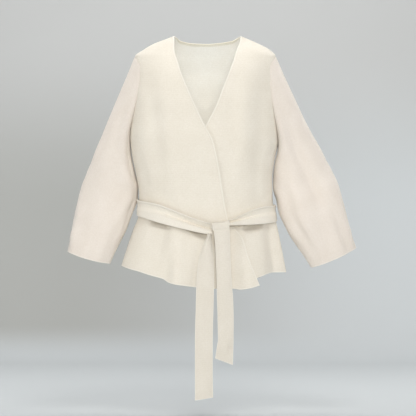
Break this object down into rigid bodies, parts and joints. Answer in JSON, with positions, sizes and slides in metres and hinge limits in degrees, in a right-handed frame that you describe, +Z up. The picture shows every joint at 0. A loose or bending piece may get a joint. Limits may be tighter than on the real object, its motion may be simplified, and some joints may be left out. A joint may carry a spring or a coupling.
{
  "type": "knit wrap blazer",
  "caption": "Wrap-front knit jacket, filled out as when worn: V neck, full set-in sleeves, fluted peplum and a cloth belt tied in front.",
  "frame": {"origin": "midway between the two neck points, where a wearer's shoulders or a hanger carry it", "axes": "+Z up, -Y out of the garment's front, +X towards the wearer's left sleeve"},
  "size_m": [0.7908, 0.2616, 0.9921],
  "materials": {
    "knit": "matt fine double knit",
    "band": "matt knitted band",
    "belt": "matt fine double knit"
  },
  "bodies": {
    "root": {"body_back": "knit", "body_front_right": "knit", "body_front_left": "knit", "peplum_back": "knit", "peplum_front_right": "knit", "peplum_front_left": "knit", "sleeve_right": "knit", "sleeve_left": "knit", "neck_band": "band", "belt_round": "belt", "belt_knot": "belt", "belt_tail_over": "belt", "belt_tail_under": "belt"}
  },
  "joints": []
}
